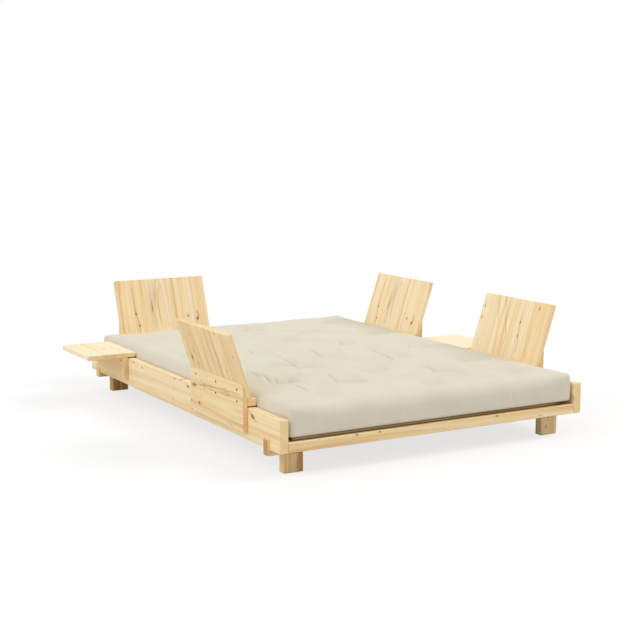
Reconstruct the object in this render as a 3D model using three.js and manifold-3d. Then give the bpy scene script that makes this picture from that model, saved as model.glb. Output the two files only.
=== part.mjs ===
// A low pine futon daybed: a notched board frame on four short legs, a slatted base, a tufted
// futon mattress, four leaning backrests and two side tables that hook over the boards and slide
// along them. Millimetres, +Z up, +X to the right along the open front, +Y towards the head.
// The origin is on the floor, at the middle of everything that the daybed covers.
import * as THREE from "three";
import { mergeVertices } from "three/addons/utils/BufferGeometryUtils.js";
import Module from "manifold-3d";

const wasm = await Module();
wasm.setup();

// Clearances
const FIT = 0.3; // between pieces that touch, and under what slides on the boards
const SLAT_END = 3; // between a slat's end and the side board

// Board frame
const RAIL_THICK = 38;
const RAIL_HEIGHT = 133;
const RAIL_LENGTH = 2052;
const RAIL_BOTTOM = 103; // above the floor
const INNER_WIDTH = 1416; // between the side boards
const HEAD_INSET = 8; // the side boards' ends stand past the head board
const FOOT_RAIL_HEIGHT = 42;
const EDGE_ROUND = 4; // eased long edges of every board
const END_EASE = 2; // eased end edges

// Cross beams and legs
const BEAM_WIDTH = 41;
const BEAM_HEIGHT = 66;
const BEAM_PROUD = 8; // how far a beam end stands out of the side board
const BEAM_SETBACK = 83; // from the side boards' ends
const LEG_WIDTH = 87;
const LEG_INSET = 62; // from the side board's outer face
const CENTRE_BEAM_WIDTH = 45;
const CENTRE_BEAM_HEIGHT = 36;
const HOUSING_DEPTH = 14; // of the centre beam's seat in each cross beam
const BLOCK_WIDTH = 45;

// Slatted base
const SLAT_COUNT = 12;
const SLAT_WIDTH = 80;
const SLAT_THICK = 20;
const LEDGE_WIDTH = 24;

// Leg bolts, one to each leg beside the glue
const BOLT_RADIUS = 4;
const BOLT_HEAD_RADIUS = 7;
const BOLT_HEAD_THICK = 5;
const BOLT_SUNK = 6; // of the head's top under the beam's top
const BOLT_IN_LEG = 45;

// Backrest: a leaning panel, an outer plate, a foot and a steel hook, all cut from board
const BACKREST_WIDTH = 500;
const PANEL_THICK = 22;
const PANEL_LENGTH = 283; // up its inner face
const PANEL_LEAN = THREE.MathUtils.degToRad(18.6);
const PANEL_SEAT = 21.5; // its inner face on the foot, from the board's outer face
const PLATE_THICK = 22;
const PLATE_DROP = 100; // of the outer plate below the board's top
const FOOT_HEIGHT = 31;
const FOOT_ROUND = 9;
const HOOK_THICK = 4;
const HOOK_DROP = 66;
const HOOK_RECESS = 2; // of the hook's ends inside the foot's ends
const HOOK_BEND = 6; // outer radius of its bend

// The counterbores of the six screws through each backrest's plate
const SCREW_SPACING = 197;
const SCREW_HOLE_RADIUS = 5;
const SCREW_HOLE_DEPTH = 4;
const UPPER_SCREW_HEIGHT = 66; // above the board's top
const LOWER_SCREW_HEIGHT = 18.5;
const HOLE_SIDES = 12;

// Side table
const TABLE_LENGTH = 360;
const TABLE_THICK = 22.5;
const TABLE_OVERHANG = 205; // from the board's outer face
const TABLE_CORNER = 8; // in plan

// The free stretches of a board before, between and after what hooks on it: on the side boards
// from cross beam to cross beam, on the head board from the left side board to the right one
const LEFT_SPACES = [146, 774, 24];
const RIGHT_SPACES = [160, 66, 52, 166];
const HEAD_SPACES = [120, 796];

// Futon mattress
const MATTRESS_SIDE_GAP = 8;
const MATTRESS_FRONT = 1;
const MATTRESS_HEAD_GAP = 7;
const MATTRESS_THICK = 137;
const MATTRESS_CROWN = 9;
const MATTRESS_CORNER = 34;
const TOP_ROUND = 54;
const BOTTOM_ROUND = 32;
const SIDE_DRAW = 5; // the sides' waist between the rolled edges
const TUFT_DEPTH = 24;
const TUFT_SPREAD = 52;
const TUFT_COLUMNS = 5;
const TUFT_ROWS = 9;
const TUFT_SIDE_MARGIN = 214; // from the mattress's sides to the outer columns
const TUFT_FRONT_MARGIN = 150;
const TUFT_HEAD_MARGIN = 224;
const TOP_COLUMNS = 20;
const TOP_ROWS = 26;

// Sizes that follow
const OUTER_WIDTH = INNER_WIDTH + 2 * RAIL_THICK;
const RAIL_TOP = RAIL_BOTTOM + RAIL_HEIGHT;
const HALF_OUTER = OUTER_WIDTH / 2;
const HALF_INNER = INNER_WIDTH / 2;
const HEAD_OUTER = RAIL_LENGTH - HEAD_INSET;
const HEAD_INNER = HEAD_OUTER - RAIL_THICK;
const BASE_TOP = RAIL_BOTTOM + FOOT_RAIL_HEIGHT; // top of slats, beams and foot rail
const BEAM_BOTTOM = BASE_TOP - BEAM_HEIGHT;
const LEDGE_TOP = BASE_TOP - SLAT_THICK - FIT;
const FRONT_BEAM = [BEAM_SETBACK, BEAM_SETBACK + BEAM_WIDTH];
const REAR_BEAM = [RAIL_LENGTH - BEAM_SETBACK - BEAM_WIDTH, RAIL_LENGTH - BEAM_SETBACK];
const BED_MIDDLE = (FRONT_BEAM[1] + REAR_BEAM[0]) / 2;
const CENTRE_BEAM_BOTTOM = LEDGE_TOP - CENTRE_BEAM_HEIGHT;
const MATTRESS_LENGTH = HEAD_INNER - MATTRESS_FRONT - MATTRESS_HEAD_GAP;
const MATTRESS_WIDTH = INNER_WIDTH - 2 * MATTRESS_SIDE_GAP;
const TUFT_COLUMN_PITCH = (MATTRESS_WIDTH - 2 * TUFT_SIDE_MARGIN) / (TUFT_COLUMNS - 1);
const TUFT_ROW_PITCH = (MATTRESS_LENGTH - TUFT_FRONT_MARGIN - TUFT_HEAD_MARGIN) / (TUFT_ROWS - 1);
const FOOT_BOTTOM = FIT + HOOK_THICK + FIT; // above the board's top
const FOOT_TOP = FOOT_BOTTOM + FOOT_HEIGHT;
const LEAN_RUN = Math.tan(PANEL_LEAN); // outward for each unit up
const PANEL_WIDE = PANEL_THICK / Math.cos(PANEL_LEAN); // the panel's thickness on the level
const PANEL_BOTTOM = FOOT_TOP + FIT;
const PANEL_TOP_INNER = [
  PANEL_SEAT - PANEL_LENGTH * Math.sin(PANEL_LEAN),
  PANEL_BOTTOM + PANEL_LENGTH * Math.cos(PANEL_LEAN),
];
const PANEL_TOP_OUTER = [
  PANEL_TOP_INNER[0] - PANEL_THICK * Math.cos(PANEL_LEAN),
  PANEL_TOP_INNER[1] - PANEL_THICK * Math.sin(PANEL_LEAN),
];
const TOTAL_DEPTH = HEAD_OUTER - PANEL_TOP_OUTER[0] - END_EASE * Math.sin(PANEL_LEAN);

// Materials, each a function so that every mesh has its own
const material = (color, roughness, metalness) => () =>
  new THREE.MeshStandardMaterial({ color, roughness, metalness });
const clearPine = material(0xe8c896, 0.55, 0);
const hiddenPine = material(0xdcb680, 0.6, 0);
const blackSteel = material(0x1c1b1a, 0.5, 0.8);
const zincSteel = material(0xb8b8b4, 0.35, 0.9);
const naturalCotton = material(0xe6dfcf, 0.95, 0);

// A geometry with only merged corners, as a closed solid needs
function weld(geometry) {
  geometry.deleteAttribute("normal");
  geometry.deleteAttribute("uv");
  return mergeVertices(geometry, 1e-4);
}

function toSolid(geometry) {
  const merged = weld(geometry);
  const mesh = new wasm.Mesh({
    numProp: 3,
    vertProperties: Float32Array.from(merged.attributes.position.array),
    triVerts: Uint32Array.from(merged.index.array),
  });
  return new wasm.Manifold(mesh);
}

function toGeometry(solid) {
  const { vertProperties, triVerts } = solid.getMesh();
  const geometry = new THREE.BufferGeometry();
  geometry.setAttribute("position", new THREE.BufferAttribute(Float32Array.from(vertProperties), 3));
  geometry.setIndex(new THREE.BufferAttribute(Uint32Array.from(triVerts), 1));
  geometry.computeVertexNormals();
  return geometry;
}

function cut(geometry, tools) {
  let solid = toSolid(geometry);
  for (const tool of tools) solid = solid.subtract(toSolid(tool));
  return toGeometry(solid);
}

// Turns a geometry drawn in XY and extruded along Z so that it runs along the named axis
function along(axis, geometry) {
  const turn = new THREE.Matrix4();
  if (axis === "x") turn.set(0, 0, 1, 0, 1, 0, 0, 0, 0, 1, 0, 0, 0, 0, 0, 1);
  if (axis === "y") turn.set(0, 1, 0, 0, 0, 0, 1, 0, 1, 0, 0, 0, 0, 0, 0, 1);
  return geometry.applyMatrix4(turn);
}

// A rectangle with its corners rounded in two steps
function roundedRectangle([u0, u1], [v0, v1], radius) {
  const shape = new THREE.Shape();
  shape.moveTo(u0 + radius, v0);
  shape.lineTo(u1 - radius, v0);
  shape.absarc(u1 - radius, v0 + radius, radius, -Math.PI / 2, 0);
  shape.absarc(u1 - radius, v1 - radius, radius, 0, Math.PI / 2);
  shape.absarc(u0 + radius, v1 - radius, radius, Math.PI / 2, Math.PI);
  shape.absarc(u0 + radius, v0 + radius, radius, Math.PI, 1.5 * Math.PI);
  return shape;
}

// A profile extruded between two stations, with its end edges eased
function easedExtrusion(shape, [start, end]) {
  return new THREE.ExtrudeGeometry(shape, {
    depth: end - start - 2 * END_EASE,
    curveSegments: 2,
    bevelEnabled: true,
    bevelThickness: END_EASE,
    bevelSize: END_EASE,
    bevelOffset: -END_EASE,
    bevelSegments: 1,
  }).translate(0, 0, start + END_EASE);
}

// A board that runs along one axis, with rounded long edges and eased ends
function board(axis, x, y, z) {
  const [u, v, w] = { x: [y, z, x], y: [z, x, y], z: [x, y, z] }[axis];
  return along(axis, easedExtrusion(roundedRectangle(u, v, EDGE_ROUND), w));
}

function plainBox([x0, x1], [y0, y1], [z0, z1]) {
  const box = new THREE.BoxGeometry(x1 - x0, y1 - y0, z1 - z0);
  return box.translate((x0 + x1) / 2, (y0 + y1) / 2, (z0 + z1) / 2);
}

function piece(name, geometry, material) {
  const mesh = new THREE.Mesh(weld(geometry), material());
  mesh.name = name;
  return mesh;
}

// Leg bolts, each through a beam from its top into the leg below
function boltSites() {
  const legMiddle = HALF_OUTER - LEG_INSET - LEG_WIDTH / 2;
  const beamMiddle = (beam) => (beam[0] + beam[1]) / 2;
  const onBeam = { top: BASE_TOP, leg: BEAM_BOTTOM };
  return [
    { name: "leg_bolt_front_left", x: -legMiddle, y: beamMiddle(FRONT_BEAM), ...onBeam },
    { name: "leg_bolt_front_right", x: legMiddle, y: beamMiddle(FRONT_BEAM), ...onBeam },
    { name: "leg_bolt_rear_left", x: -legMiddle, y: beamMiddle(REAR_BEAM), ...onBeam },
    { name: "leg_bolt_rear_right", x: legMiddle, y: beamMiddle(REAR_BEAM), ...onBeam },
    { name: "leg_bolt_centre", x: 0, y: BED_MIDDLE, top: LEDGE_TOP, leg: CENTRE_BEAM_BOTTOM },
  ];
}

// A bolt, or with play the hole for it, with its open end carried up by rise
function boltAt({ x, y, top, leg }, play, rise) {
  const headTop = top - BOLT_SUNK;
  const length = headTop - leg + BOLT_IN_LEG;
  const outline = [
    [0, -length - play],
    [BOLT_RADIUS + play, -length - play],
    [BOLT_RADIUS + play, -BOLT_HEAD_THICK - play],
    [BOLT_HEAD_RADIUS + play, -BOLT_HEAD_THICK - play],
    [BOLT_HEAD_RADIUS + play, rise],
    [0, rise],
  ];
  const shape = new THREE.LatheGeometry(outline.map(([r, z]) => new THREE.Vector2(r, z)), HOLE_SIDES);
  return shape.rotateX(Math.PI / 2).translate(x, y, headTop);
}

const boltHoles = (sites) => sites.map((site) => boltAt(site, FIT, BOLT_SUNK + 1));

const legBolts = () => boltSites().map((site) => piece(site.name, boltAt(site, 0, 0), zincSteel));

// The board frame
function sideRail(name, side) {
  const x = side < 0 ? [-HALF_OUTER, -HALF_INNER] : [HALF_INNER, HALF_OUTER];
  const notches = [FRONT_BEAM, REAR_BEAM].map(([y0, y1]) =>
    plainBox([x[0] - 1, x[1] + 1], [y0 - FIT, y1 + FIT], [RAIL_BOTTOM - 1, BASE_TOP + FIT]));
  return piece(name, cut(board("y", x, [0, RAIL_LENGTH], [RAIL_BOTTOM, RAIL_TOP]), notches), clearPine);
}

function crossBoard(name, y, top) {
  const x = [-HALF_INNER + FIT, HALF_INNER - FIT];
  return piece(name, board("x", x, y, [RAIL_BOTTOM, top]), clearPine);
}

function crossBeam(name, y, housingSide) {
  const x = [-HALF_OUTER - BEAM_PROUD, HALF_OUTER + BEAM_PROUD];
  const half = CENTRE_BEAM_WIDTH / 2 + FIT;
  const housing = housingSide > 0 ? [y[1] - HOUSING_DEPTH, y[1] + 1] : [y[0] - 1, y[0] + HOUSING_DEPTH];
  const seat = plainBox([-half, half], housing, [CENTRE_BEAM_BOTTOM - FIT, BASE_TOP + 1]);
  const sites = boltSites().filter((site) => site.y > y[0] && site.y < y[1]);
  const beam = board("x", x, y, [BEAM_BOTTOM, BASE_TOP]);
  return piece(name, cut(beam, [seat, ...boltHoles(sites)]), clearPine);
}

function leg(name, x, y, top) {
  const lx = [x - LEG_WIDTH / 2, x + LEG_WIDTH / 2];
  const sites = boltSites().filter((site) => Math.hypot(site.x - x, site.y - (y[0] + y[1]) / 2) < 1);
  return piece(name, cut(board("z", lx, y, [0, top - FIT]), boltHoles(sites)), clearPine);
}

function legs() {
  const x = HALF_OUTER - LEG_INSET - LEG_WIDTH / 2;
  const middle = [BED_MIDDLE - BEAM_WIDTH / 2, BED_MIDDLE + BEAM_WIDTH / 2];
  return [
    leg("leg_front_left", -x, FRONT_BEAM, BEAM_BOTTOM),
    leg("leg_front_right", x, FRONT_BEAM, BEAM_BOTTOM),
    leg("leg_rear_left", -x, REAR_BEAM, BEAM_BOTTOM),
    leg("leg_rear_right", x, REAR_BEAM, BEAM_BOTTOM),
    leg("centre_leg", 0, middle, CENTRE_BEAM_BOTTOM),
  ];
}

function centreBeam() {
  const x = [-CENTRE_BEAM_WIDTH / 2, CENTRE_BEAM_WIDTH / 2];
  const y = [FRONT_BEAM[1] - HOUSING_DEPTH + FIT, REAR_BEAM[0] + HOUSING_DEPTH - FIT];
  const sites = boltSites().filter((site) => site.x === 0);
  const beam = board("y", x, y, [CENTRE_BEAM_BOTTOM, LEDGE_TOP]);
  return piece("centre_beam", cut(beam, boltHoles(sites)), hiddenPine);
}

// The strips and blocks inside the side boards
function ledgesAndBlocks() {
  const edge = HALF_INNER - FIT;
  const strip = (name, sign, width, [y0, y1], top) => {
    const x = sign < 0 ? [-edge, -edge + width] : [edge - width, edge];
    return piece(name, board("y", x, [y0 + FIT, y1 - FIT], [RAIL_BOTTOM, top]), hiddenPine);
  };
  return [["left", -1], ["right", 1]].flatMap(([side, sign]) => [
    strip(`slat_ledge_${side}`, sign, LEDGE_WIDTH, [FRONT_BEAM[1], REAR_BEAM[0]], LEDGE_TOP),
    strip(`corner_block_front_${side}`, sign, BLOCK_WIDTH, [RAIL_THICK, FRONT_BEAM[0]], BASE_TOP),
    strip(`corner_block_head_${side}`, sign, BLOCK_WIDTH, [REAR_BEAM[1], HEAD_INNER], BASE_TOP),
  ]);
}

function slats() {
  const x = [-HALF_INNER + SLAT_END, HALF_INNER - SLAT_END];
  const pitch = (REAR_BEAM[0] - FRONT_BEAM[1]) / SLAT_COUNT;
  return Array.from({ length: SLAT_COUNT }, (_, i) => {
    const middle = FRONT_BEAM[1] + pitch * (i + 0.5);
    const y = [middle - SLAT_WIDTH / 2, middle + SLAT_WIDTH / 2];
    const slat = board("x", x, y, [LEDGE_TOP + FIT, BASE_TOP]);
    return piece(`slat_${String(i + 1).padStart(2, "0")}`, slat, hiddenPine);
  });
}

// What hooks over a board is drawn with X inward from the board's outer face, Y along the board
// and Z up from the board's top, its middle at 0
const outlineShape = (points) => new THREE.Shape(points.map(([x, z]) => new THREE.Vector2(z, x)));

// A steel angle over the board's top and down its inner face, bent to a radius
function hookAngle(name, length) {
  const inner = RAIL_THICK + FIT;
  const outer = inner + HOOK_THICK;
  const top = FIT + HOOK_THICK;
  const half = length / 2 - HOOK_RECESS;
  const shape = new THREE.Shape();
  shape.moveTo(FIT, 0);
  shape.lineTo(top, 0);
  shape.lineTo(top, outer - HOOK_BEND);
  shape.absarc(top - HOOK_BEND, outer - HOOK_BEND, HOOK_BEND, 0, Math.PI / 2);
  shape.lineTo(-HOOK_DROP, outer);
  shape.lineTo(-HOOK_DROP, inner);
  shape.lineTo(FIT, inner);
  const flat = new THREE.ExtrudeGeometry(shape, { depth: 2 * half, curveSegments: 3, bevelEnabled: false });
  return piece(name, along("y", flat.translate(0, 0, -half)), blackSteel);
}

// The screws' counterbores in the plate's outer face, in two rows of three
function screwHoles() {
  const outer = -FIT - PLATE_THICK;
  const rows = [UPPER_SCREW_HEIGHT, LOWER_SCREW_HEIGHT];
  const size = [SCREW_HOLE_RADIUS, SCREW_HOLE_RADIUS, 2 * SCREW_HOLE_DEPTH, HOLE_SIDES];
  return rows.flatMap((height) => [-SCREW_SPACING, 0, SCREW_SPACING].map((y) =>
    new THREE.CylinderGeometry(...size).rotateZ(Math.PI / 2).translate(outer, y, height)));
}

function panelShape() {
  const outerBottom = [PANEL_SEAT - PANEL_WIDE, PANEL_BOTTOM];
  const ease = END_EASE;
  const up = [-Math.sin(PANEL_LEAN) * ease, Math.cos(PANEL_LEAN) * ease];
  const back = [-Math.cos(PANEL_LEAN) * ease, -Math.sin(PANEL_LEAN) * ease];
  const step = ([x, z], [dx, dz], sign) => [x + sign * dx, z + sign * dz];
  return outlineShape([
    [PANEL_SEAT, PANEL_BOTTOM],
    step(PANEL_TOP_INNER, up, -1),
    step(PANEL_TOP_INNER, back, 1),
    step(PANEL_TOP_OUTER, back, -1),
    step(PANEL_TOP_OUTER, up, -1),
    outerBottom,
  ]);
}

// The plate's top is bevelled to lie along the panel's back
function plateShape() {
  const bevelAt = (x) => PANEL_BOTTOM + (PANEL_SEAT - PANEL_WIDE - FIT / Math.cos(PANEL_LEAN) - x) / LEAN_RUN;
  const outer = -FIT - PLATE_THICK;
  return outlineShape([
    [outer + END_EASE, -PLATE_DROP],
    [-FIT, -PLATE_DROP],
    [-FIT, bevelAt(-FIT)],
    [outer, bevelAt(outer)],
    [outer, -PLATE_DROP + END_EASE],
  ].reverse());
}

// The foot's inner top edge is rounded
function footShape() {
  const shape = new THREE.Shape();
  shape.moveTo(FOOT_BOTTOM, 0);
  shape.lineTo(FOOT_TOP, 0);
  shape.lineTo(FOOT_TOP, RAIL_THICK - FOOT_ROUND);
  shape.absarc(FOOT_TOP - FOOT_ROUND, RAIL_THICK - FOOT_ROUND, FOOT_ROUND, 0, Math.PI / 2);
  shape.lineTo(FOOT_BOTTOM, RAIL_THICK);
  return shape;
}

const halfSpan = (length) => [-length / 2, length / 2];

function backrest(name) {
  const group = new THREE.Group();
  const span = halfSpan(BACKREST_WIDTH);
  const panel = along("y", easedExtrusion(panelShape(), span));
  const plate = along("y", easedExtrusion(plateShape(), span));
  const foot = along("y", easedExtrusion(footShape(), span));
  group.add(
    piece(`${name}_panel`, panel, clearPine),
    piece(`${name}_plate`, cut(plate, screwHoles()), clearPine),
    piece(`${name}_foot`, foot, clearPine),
    hookAngle(`${name}_hook`, BACKREST_WIDTH),
  );
  return group;
}

function sideTable(name) {
  const group = new THREE.Group();
  const span = halfSpan(TABLE_LENGTH);
  const plan = roundedRectangle([-TABLE_OVERHANG, RAIL_THICK], span, TABLE_CORNER);
  const top = easedExtrusion(plan, [FOOT_BOTTOM, FOOT_BOTTOM + TABLE_THICK]);
  const plate = board("y", [-FIT - PLATE_THICK, -FIT], span, [-PLATE_DROP, FOOT_BOTTOM - FIT]);
  group.add(
    piece(`${name}_top`, top, clearPine),
    piece(`${name}_plate`, plate, clearPine),
    hookAngle(`${name}_hook`, TABLE_LENGTH),
  );
  return group;
}

// The middles of pieces set along a run, whose free length is shared out as the spaces say
function middles([start, end], lengths, spaces) {
  const total = (list) => list.reduce((sum, value) => sum + value, 0);
  const share = (end - start - total(lengths)) / total(spaces);
  let at = start;
  return lengths.map((length, i) => {
    at += spaces[i] * share + length;
    return at - length / 2;
  });
}

// Sets a hooked group on a board: on the left board as drawn, on the right one turned half round
function onSideRail(group, side, middle) {
  group.position.set(side * HALF_OUTER, middle, RAIL_TOP);
  group.rotation.z = side < 0 ? 0 : Math.PI;
  return group;
}

function onHeadBoard(group, middle) {
  group.position.set(middle, HEAD_OUTER, RAIL_TOP);
  group.rotation.z = -Math.PI / 2;
  return group;
}

// The futon. A loop of its plan is a rectangle with round corners, drawn in by inset
function planPoint(s, t, inset) {
  const halfX = MATTRESS_WIDTH / 2 - inset;
  const halfY = MATTRESS_LENGTH / 2 - inset;
  const round = MATTRESS_CORNER - inset / 2;
  const corner = [Math.abs(s) * halfX - (halfX - round), Math.abs(t) * halfY - (halfY - round)];
  if (corner[0] <= 0 || corner[1] <= 0) return [s * halfX, t * halfY];
  const [p, q] = corner.map((value) => value / round);
  const x = halfX - round + round * p * Math.sqrt(1 - (q * q) / 2);
  const y = halfY - round + round * q * Math.sqrt(1 - (p * p) / 2);
  return [Math.sign(s) * x, Math.sign(t) * y];
}

// Tufts lie in staggered rows: three in one row, two between them in the next
function tufts() {
  const middleColumn = (TUFT_COLUMNS - 1) / 2;
  const list = [];
  for (let row = 0; row < TUFT_ROWS; row += 1) {
    for (let column = row % 2; column < TUFT_COLUMNS; column += 2) {
      const x = (column - middleColumn) * TUFT_COLUMN_PITCH;
      list.push([x, TUFT_FRONT_MARGIN + row * TUFT_ROW_PITCH - MATTRESS_LENGTH / 2]);
    }
  }
  return list;
}

const tuftList = tufts();

function topHeight(x, y) {
  const edgeX = Math.abs(x) / (MATTRESS_WIDTH / 2);
  const edgeY = Math.abs(y) / (MATTRESS_LENGTH / 2);
  const crown = MATTRESS_CROWN * (1 - edgeX ** 6) * (1 - edgeY ** 6);
  const dip = ([tx, ty]) => Math.exp(-((x - tx) ** 2 + (y - ty) ** 2) / (2 * TUFT_SPREAD ** 2));
  return MATTRESS_THICK + crown - TUFT_DEPTH * tuftList.reduce((sum, tuft) => sum + dip(tuft), 0);
}

// The loop of grid corners once round the edge of the top, counted as [column, row]
function edgeLoop() {
  const loop = [];
  for (let i = 0; i < TOP_COLUMNS; i += 1) loop.push([i, 0]);
  for (let j = 0; j < TOP_ROWS; j += 1) loop.push([TOP_COLUMNS, j]);
  for (let i = TOP_COLUMNS; i > 0; i -= 1) loop.push([i, TOP_ROWS]);
  for (let j = TOP_ROWS; j > 0; j -= 1) loop.push([0, j]);
  return loop;
}

// Down the side: [inset, height], over the rolled top edge, in at the waist and under the bottom
function sideProfile() {
  const shoulder = MATTRESS_THICK - TOP_ROUND;
  const quarter = (steps) => Array.from({ length: steps }, (_, i) => ((i + 1) / steps) * (Math.PI / 2));
  const over = quarter(3).map((a) => [TOP_ROUND * (1 - Math.sin(a)), shoulder + TOP_ROUND * Math.cos(a)]);
  const waist = [SIDE_DRAW, (shoulder + BOTTOM_ROUND) / 2];
  const under = [0, ...quarter(2)].map((a) =>
    [BOTTOM_ROUND * (1 - Math.cos(a)), BOTTOM_ROUND * (1 - Math.sin(a))]);
  return [...over, waist, ...under];
}

function mattress() {
  const positions = [];
  const faces = [];
  const grid = (i, j) => j * (TOP_COLUMNS + 1) + i;
  const unit = (index, count) => (2 * index) / count - 1;
  for (let j = 0; j <= TOP_ROWS; j += 1) {
    for (let i = 0; i <= TOP_COLUMNS; i += 1) {
      const [x, y] = planPoint(unit(i, TOP_COLUMNS), unit(j, TOP_ROWS), TOP_ROUND);
      positions.push(x, y, topHeight(x, y));
    }
  }
  for (let j = 0; j < TOP_ROWS; j += 1) {
    for (let i = 0; i < TOP_COLUMNS; i += 1) {
      faces.push(grid(i, j), grid(i + 1, j), grid(i + 1, j + 1));
      faces.push(grid(i, j), grid(i + 1, j + 1), grid(i, j + 1));
    }
  }
  const loop = edgeLoop();
  let above = loop.map(([i, j]) => grid(i, j));
  for (const [inset, height] of sideProfile()) {
    const below = loop.map(([i, j]) => {
      const [x, y] = planPoint(unit(i, TOP_COLUMNS), unit(j, TOP_ROWS), inset);
      positions.push(x, y, height);
      return positions.length / 3 - 1;
    });
    for (let k = 0; k < loop.length; k += 1) {
      const next = (k + 1) % loop.length;
      faces.push(above[k], below[k], below[next], above[k], below[next], above[next]);
    }
    above = below;
  }
  positions.push(0, 0, 0);
  const centre = positions.length / 3 - 1;
  above.forEach((corner, k) => faces.push(corner, centre, above[(k + 1) % above.length]));
  const geometry = new THREE.BufferGeometry();
  geometry.setAttribute("position", new THREE.Float32BufferAttribute(positions, 3));
  geometry.setIndex(faces);
  const mesh = piece("futon_mattress", geometry, naturalCotton);
  mesh.position.set(0, MATTRESS_FRONT + MATTRESS_LENGTH / 2, BASE_TOP + FIT);
  return mesh;
}

function hookedPieces() {
  const run = [FRONT_BEAM[1], REAR_BEAM[0]];
  const left = middles(run, [BACKREST_WIDTH, TABLE_LENGTH], LEFT_SPACES);
  const right = middles(run, [BACKREST_WIDTH, TABLE_LENGTH, BACKREST_WIDTH], RIGHT_SPACES);
  const [head] = middles([-HALF_INNER, HALF_INNER], [BACKREST_WIDTH], HEAD_SPACES);
  return [
    onSideRail(backrest("backrest_left"), -1, left[0]),
    onSideRail(sideTable("table_left"), -1, left[1]),
    onSideRail(backrest("backrest_right_near"), 1, right[0]),
    onSideRail(sideTable("table_right"), 1, right[1]),
    onSideRail(backrest("backrest_right_far"), 1, right[2]),
    onHeadBoard(backrest("backrest_head"), head),
  ];
}

const daybed = new THREE.Group();
daybed.position.y = -TOTAL_DEPTH / 2;
daybed.add(
  sideRail("side_rail_left", -1),
  sideRail("side_rail_right", 1),
  crossBoard("foot_rail", [0, RAIL_THICK], BASE_TOP),
  crossBoard("head_board", [HEAD_INNER, HEAD_OUTER], RAIL_TOP),
  crossBeam("cross_beam_front", FRONT_BEAM, 1),
  crossBeam("cross_beam_rear", REAR_BEAM, -1),
  centreBeam(),
  ...legs(),
  ...ledgesAndBlocks(),
  ...slats(),
  ...legBolts(),
  ...hookedPieces(),
  mattress(),
);

export default daybed;
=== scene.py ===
# Looks of the pine futon daybed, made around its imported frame. Metres, +Z up, +X right, +Y to the head.
import math
import random

import bmesh
import bpy
import numpy as np
from mathutils import Matrix, Vector, noise


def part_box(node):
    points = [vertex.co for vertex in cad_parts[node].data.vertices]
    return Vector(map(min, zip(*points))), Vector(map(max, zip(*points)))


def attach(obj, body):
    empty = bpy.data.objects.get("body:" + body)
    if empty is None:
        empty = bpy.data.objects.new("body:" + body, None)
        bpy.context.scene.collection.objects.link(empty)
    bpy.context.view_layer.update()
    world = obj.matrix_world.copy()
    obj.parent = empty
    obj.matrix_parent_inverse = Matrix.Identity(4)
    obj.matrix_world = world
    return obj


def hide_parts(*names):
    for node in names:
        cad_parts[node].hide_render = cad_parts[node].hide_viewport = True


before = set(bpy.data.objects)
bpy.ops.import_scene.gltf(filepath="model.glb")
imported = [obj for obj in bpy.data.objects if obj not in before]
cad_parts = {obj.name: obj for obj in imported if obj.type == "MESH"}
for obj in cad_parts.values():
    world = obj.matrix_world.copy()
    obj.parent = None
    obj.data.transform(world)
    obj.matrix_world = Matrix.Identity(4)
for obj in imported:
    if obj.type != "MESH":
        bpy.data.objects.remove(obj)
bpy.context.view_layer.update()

mm = 0.001
right, ahead, up = Vector((1, 0, 0)), Vector((0, 1, 0)), Vector((0, 0, 1))
white = (1, 1, 1, 1)
print("stage: frame loaded,", len(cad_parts), "nodes")


def screenColour(red, green, blue):
    # 0 to 255 as a screen shows it, turned into what a shader takes
    parts = [c / 255 for c in (red, green, blue)]
    return [((c + 0.055) / 1.055) ** 2.4 if c > 0.04 else c / 12.92 for c in parts] + [1.0]


class Flow:
    # a node's output that takes part in sums
    def __init__(self, nodes, socket):
        self.nodes = nodes
        self.socket = socket

    def maths(self, operation, *values, **settings):
        settings["operation"] = operation
        return self.nodes.node("ShaderNodeMath", settings, dict(enumerate(values)))

    def __add__(self, other):
        return self.maths("ADD", self, other)

    __radd__ = __add__

    def __sub__(self, other):
        return self.maths("SUBTRACT", self, other)

    def __rsub__(self, other):
        return self.maths("SUBTRACT", other, self)

    def __mul__(self, other):
        return self.maths("MULTIPLY", self, other)

    def __truediv__(self, other):
        return self.maths("DIVIDE", self, other)

    def __pow__(self, other):
        return self.maths("POWER", self, other)

    def __gt__(self, other):
        return self.maths("GREATER_THAN", self, other)

    def __neg__(self):
        return self.maths("MULTIPLY", self, -1.0)

    def size(self):
        return self.maths("ABSOLUTE", self)

    def root(self):
        return self.maths("SQRT", self)

    def fraction(self):
        return self.maths("FRACT", self)

    def exp(self):
        return self.maths("EXPONENT", self)

    def least(self, other):
        return self.maths("MINIMUM", self, other)

    def most(self, other):
        return self.maths("MAXIMUM", self, other)

    def held(self):
        # kept from 0 to 1
        return self.maths("ADD", self, 0.0, use_clamp=True)

    def between(self, low, high):
        # 0 at low and 1 at high, soft at both ends
        settings = {"interpolation_type": "SMOOTHSTEP"}
        return self.nodes.node("ShaderNodeMapRange", settings, {0: self, 1: low, 2: high})


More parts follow.
